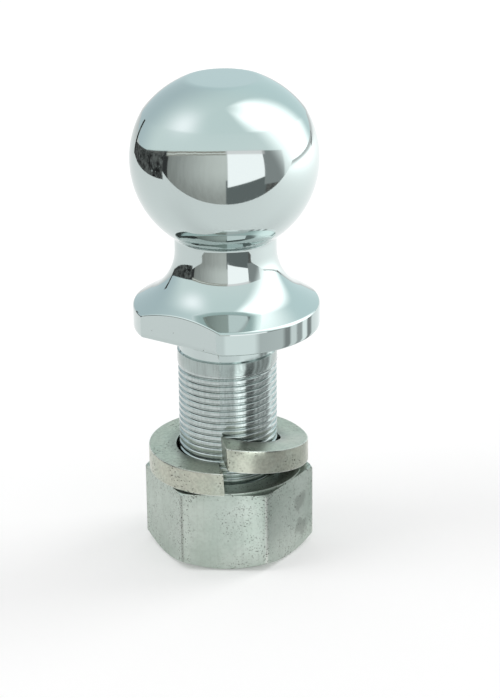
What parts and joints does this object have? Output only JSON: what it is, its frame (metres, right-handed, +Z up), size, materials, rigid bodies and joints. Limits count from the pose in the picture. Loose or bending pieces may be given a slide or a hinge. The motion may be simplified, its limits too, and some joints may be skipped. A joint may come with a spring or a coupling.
{
  "type": "threaded tow ball",
  "caption": "Chromed tow ball with a bell-shaped flange, wrench flats and a threaded shank, standing in its hex nut with a split spring washer between.",
  "frame": {"origin": "on the axis of the shank, on the floor under the nut", "axes": "+Z up along the shank towards the ball, -Y towards the viewer of the picture, +X to the right"},
  "size_m": [0.059, 0.059, 0.1554],
  "materials": {
    "nut_steel": "zinc plated, satin, with fine pits",
    "washer_steel": "zinc plated, dull, with small pits",
    "chromed_steel": "polished chrome, rolled thread on the shank"
  },
  "bodies": {
    "nut": {"hex_nut": "nut_steel"},
    "washer": {"lock_washer": "washer_steel"},
    "ball": {"tow_ball": "chromed_steel"}
  },
  "joints": [
    {"name": "ball_turn", "type": "hinge", "parent": "nut", "child": "washer", "pos_m": [0, 0, 0.02699], "axis": [0, 0, 1], "range_deg": [-5434, 10440]},
    {"name": "ball_rise", "type": "slide", "parent": "washer", "child": "ball", "axis": [0, 0, 1], "range_m": [-0.0325, 0.062]}
  ],
  "couplings": [
    {"joint": "ball_rise", "follows": "ball_turn", "m_per_rad": 0.00033688}
  ]
}
